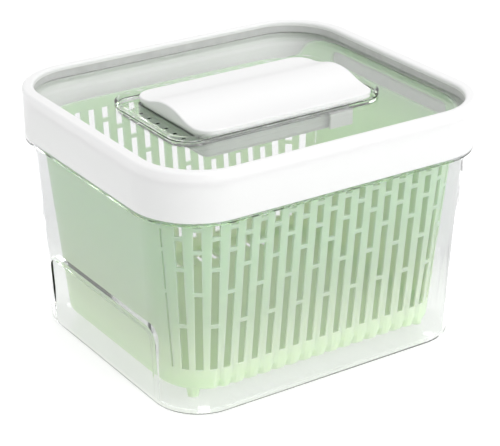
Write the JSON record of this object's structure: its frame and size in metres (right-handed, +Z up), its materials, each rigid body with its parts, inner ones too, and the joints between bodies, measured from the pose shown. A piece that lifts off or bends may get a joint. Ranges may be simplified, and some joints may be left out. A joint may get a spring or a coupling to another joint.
{
  "type": "produce keeper",
  "caption": "Clear lidded bin with a slotted colander basket inside, a windowed lid with a sliding vent, and a hinged filter compartment under the lid.",
  "frame": {"origin": "middle of the footprint, on the surface that the bin's feet stand on", "axes": "+X along the long side towards the slider's open stop, +Y towards the wall behind the filter door's hinge, +Z up"},
  "size_m": [0.2348, 0.2038, 0.1609],
  "materials": {
    "clear_plastic": "clear, polished",
    "green_plastic": "satin",
    "white_plastic": "satin gloss",
    "grey_rubber": "matt",
    "frosted_plastic": "frosted, translucent",
    "grey_plastic": "satin",
    "pin_steel": "drawn wire",
    "filter_cloth": "soft non-woven cloth over carbon grains"
  },
  "bodies": {
    "bin": {"bin": "clear_plastic"},
    "basket": {"basket": "green_plastic"},
    "lid": {"lid_frame": "white_plastic", "window_gasket": "grey_rubber", "lid_window": "clear_plastic", "vent_tray": "clear_plastic", "filter_cage": "frosted_plastic", "hinge_pin": "pin_steel"},
    "vent_slider": {"vent_slider": "white_plastic"},
    "filter_door": {"filter_door": "frosted_plastic", "door_latch": "grey_plastic", "carbon_filter": "filter_cloth"}
  },
  "joints": [
    {"name": "basket_lift", "type": "slide", "parent": "bin", "child": "basket", "axis": [0, 0, 1], "range_m": [0, 0.15]},
    {"name": "lid_lift", "type": "slide", "parent": "basket", "child": "lid", "axis": [0, 0, 1], "range_m": [0, 0.08]},
    {"name": "vent_slide", "type": "slide", "parent": "lid", "child": "vent_slider", "axis": [1, 0, 0], "range_m": [-0.012, 0]},
    {"name": "filter_door_hinge", "type": "hinge", "parent": "lid", "child": "filter_door", "pos_m": [0, 0.0429, 0.14], "axis": [1, 0, 0], "range_deg": [0, 85]}
  ]
}
